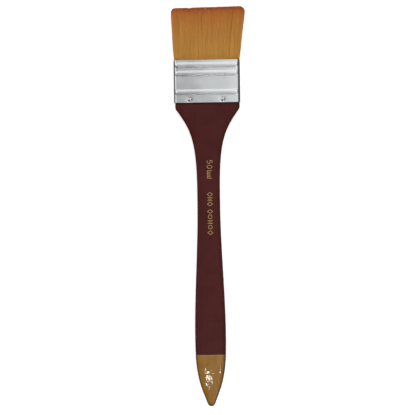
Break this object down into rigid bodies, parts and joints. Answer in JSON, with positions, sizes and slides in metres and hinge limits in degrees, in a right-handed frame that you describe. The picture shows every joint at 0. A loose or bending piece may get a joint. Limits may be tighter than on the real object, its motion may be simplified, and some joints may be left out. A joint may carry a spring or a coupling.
{
  "type": "flat wash paint brush",
  "caption": "Flat wide artist's wash brush: flexing golden filaments in a beaded tin ferrule, nailed to a flared maroon wood handle with a varnished pointed end.",
  "frame": {"origin": "centre of the overall box, on the surface that the brush lies on", "axes": "+X across the width, +Y along the handle towards the bristle tips, +Z out of the front face; the brush lies flat on its back"},
  "size_m": [0.0554, 0.304, 0.01],
  "materials": {
    "bare_wood": "fine straight-grained hardwood, sanded",
    "maroon_lacquer": "satin lacquer film on the wood",
    "clear_varnish": "thick clear gloss varnish over tan wood",
    "tin_plate": "bright tin-plated sheet, softly wavy",
    "nail_steel": "plated steel pins with domed heads",
    "epoxy": "cured epoxy",
    "filaments": "fine tapered synthetic filaments, golden with redder tips"
  },
  "bodies": {
    "handle": {"handle_wood": "bare_wood", "maroon_lacquer": "maroon_lacquer", "tip_varnish": "clear_varnish", "ferrule": "tin_plate", "nails_front": "nail_steel", "nails_back": "nail_steel", "epoxy_plug": "epoxy", "filament_roots": "filaments"},
    "tuft": {"filament_tuft": "filaments"}
  },
  "joints": [
    {"name": "bristle_flex", "type": "hinge", "parent": "handle", "child": "tuft", "pos_m": [0, 0.1129, 0.005], "axis": [1, 0, 0], "range_deg": [-30, 30], "stiffness_Nm_per_rad": 0.17}
  ]
}
